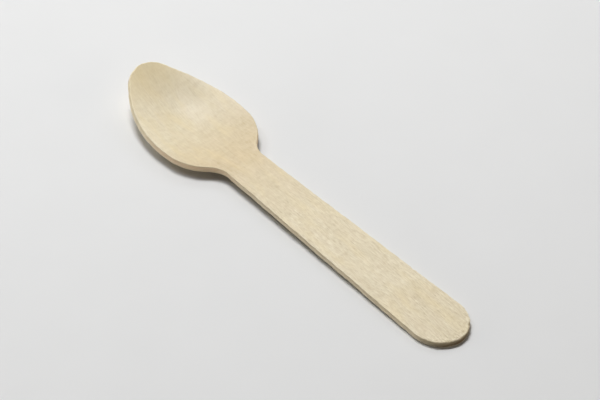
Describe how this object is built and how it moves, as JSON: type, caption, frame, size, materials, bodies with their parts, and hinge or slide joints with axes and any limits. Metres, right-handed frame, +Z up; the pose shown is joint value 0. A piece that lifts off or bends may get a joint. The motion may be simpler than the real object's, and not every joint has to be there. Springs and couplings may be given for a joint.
{
  "type": "wooden teaspoon",
  "caption": "Flat disposable teaspoon of pressed birch veneer, with an egg-shaped shallow bowl, a raised tip and a tapering handle with a rounded end.",
  "frame": {"origin": "centre of the bounding box's base: the table that the bowl and the handle's end rest on", "axes": "+X from the bowl's tip towards the handle's end, +Y across the handle, +Z up from the table"},
  "size_m": [0.1106, 0.0244, 0.0084],
  "materials": {
    "birch": "bare hot-pressed birch veneer, fine grain along the spoon, faint sheen, paler fuzzed edges"
  },
  "bodies": {
    "root": {"wooden_spoon": "birch"}
  },
  "joints": []
}
